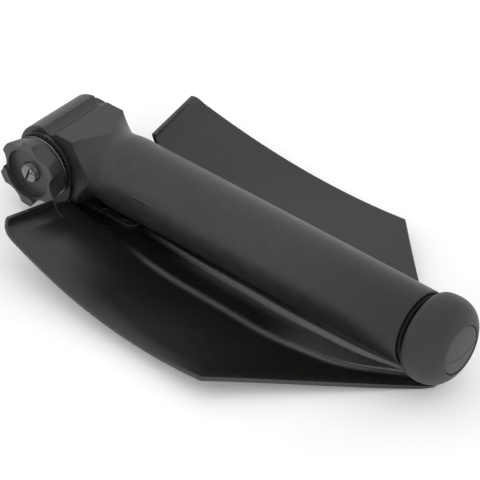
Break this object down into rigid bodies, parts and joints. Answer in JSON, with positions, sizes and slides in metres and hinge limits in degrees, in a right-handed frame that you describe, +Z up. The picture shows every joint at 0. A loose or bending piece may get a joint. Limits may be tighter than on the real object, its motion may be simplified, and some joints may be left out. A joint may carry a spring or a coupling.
{
  "type": "folding camp shovel",
  "caption": "Folding entrenching shovel: steel spade blade hinged to a hollow moulded handle, with clamping knob, telescoping inner tube and stored saw, shown folded.",
  "frame": {"origin": "centre of the folded tool's bounding box in X and Y, at its lowest point; the hinge bolt's axis is at x -108.3 mm, z 27.37 mm", "axes": "+X along the handle from the hinge to the pommel, -Y towards the clamping knob, +Z up, away from the folded blade"},
  "size_m": [0.2546, 0.1506, 0.049],
  "materials": {
    "housing": "fine matte grain, glass-filled polyamide",
    "knob": "satin moulded",
    "pommel": "coarse spark-eroded texture",
    "plug": "satin moulded",
    "inner_plastic": "plain",
    "tube_plastic": "satin",
    "blade_paint": "satin black phosphate and paint",
    "black_steel": "blackened",
    "bare_steel": "worn bare steel",
    "brass": "turned",
    "seal": "moulded"
  },
  "bodies": {
    "handle": {"handle_housing": "housing", "bolt_bushing": "bare_steel", "tube_mouth_ring": "inner_plastic"},
    "blade_set": {"blade": "blade_paint", "hinge_bracket": "blade_paint", "bracket_rivet_1": "black_steel", "bracket_rivet_2": "black_steel", "bracket_rivet_3": "black_steel", "bracket_rivet_4": "black_steel", "hinge_bolt": "bare_steel", "bolt_head_washer": "black_steel", "lock_washer": "black_steel"},
    "knob_carrier": {"thrust_washer": "bare_steel"},
    "knob": {"locking_knob": "knob", "knob_insert": "brass"},
    "expander": {"expander_sleeve": "inner_plastic"},
    "cone": {"expander_cone": "inner_plastic"},
    "extension": {"cone_stud": "bare_steel", "tube_front_plug": "inner_plastic", "extension_tube": "tube_plastic", "pommel": "pommel"},
    "saw": {"end_plug": "plug", "plug_seal": "seal", "saw_blade": "bare_steel", "saw_pin_1": "bare_steel", "saw_pin_2": "bare_steel"}
  },
  "joints": [
    {"name": "blade_fold", "type": "hinge", "parent": "handle", "child": "blade_set", "pos_m": [-0.1083, 0, 0.02737], "axis": [0, 1, 0], "range_deg": [0, 180]},
    {"name": "knob_back_off", "type": "slide", "parent": "blade_set", "child": "knob_carrier", "axis": [0, -1, 0], "range_m": [0, 0.00156]},
    {"name": "knob_turn", "type": "hinge", "parent": "knob_carrier", "child": "knob", "pos_m": [-0.1083, 0, 0.02737], "axis": [0, -1, 0], "range_deg": [0, 450]},
    {"name": "handle_extend", "type": "slide", "parent": "handle", "child": "expander", "axis": [1, 0, 0], "range_m": [0, 0.16]},
    {"name": "cone_release", "type": "slide", "parent": "expander", "child": "cone", "axis": [-1, 0, 0], "range_m": [0, 0.0015]},
    {"name": "twist_lock", "type": "hinge", "parent": "expander", "child": "extension", "pos_m": [0.0117, 0, 0.02777], "axis": [1, 0, 0], "range_deg": [0, 360]},
    {"name": "saw_draw", "type": "slide", "parent": "extension", "child": "saw", "axis": [1, 0, 0], "range_m": [0, 0.18]}
  ],
  "couplings": [
    {"joint": "knob_back_off", "follows": "knob_turn", "m_per_rad": 0.00019894},
    {"joint": "cone_release", "follows": "twist_lock", "m_per_rad": 0.00023873}
  ]
}
